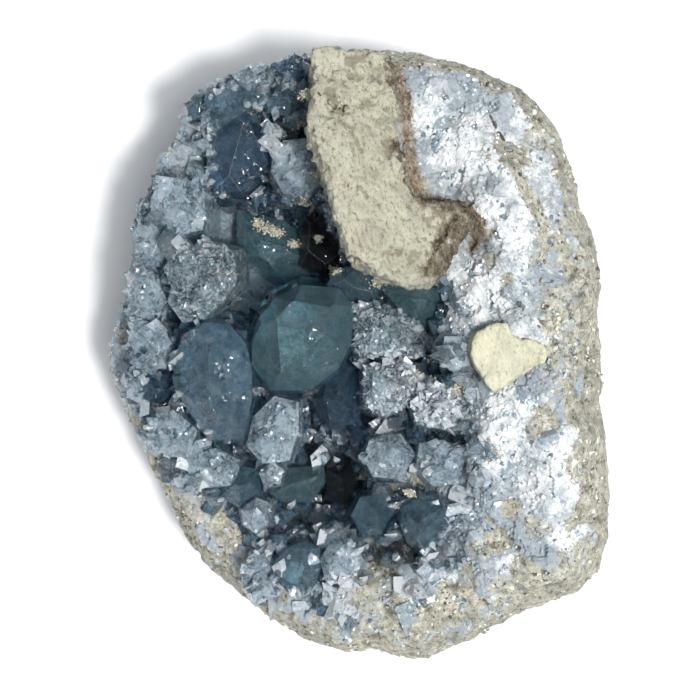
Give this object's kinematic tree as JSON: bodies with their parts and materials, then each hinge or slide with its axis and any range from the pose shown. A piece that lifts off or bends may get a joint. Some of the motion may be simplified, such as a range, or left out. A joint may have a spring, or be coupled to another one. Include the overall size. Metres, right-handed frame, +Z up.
{
  "type": "celestite geode",
  "caption": "Open geode half: pale rock lump with a hollow lined by blue crystals, lying open side up on a small flat spot.",
  "frame": {"origin": "middle of the plan outline, on the surface the lump rests on", "axes": "+Z up out of the open side, Y along the lump, X across it, with the crystal hollow on the -X side and the thick wall on the +X side"},
  "size_m": [0.0835, 0.1013, 0.0546],
  "materials": {
    "host_rock": "massive sugary celestite, white to blue-grey, passing into grainy grey-tan marl at the edges and below",
    "marl_slab": "dull, fine-grained tan marl with small ledges and a brown seam",
    "marl_chip": "dull, fine-grained tan marl with dark specks",
    "crystal_crust": "clear to cloudy grey-blue celestite crystals with glassy faces"
  },
  "bodies": {
    "root": {"host_rock": "host_rock", "marl_slab": "marl_slab", "marl_chip": "marl_chip", "crystal_crust": "crystal_crust"}
  },
  "joints": []
}
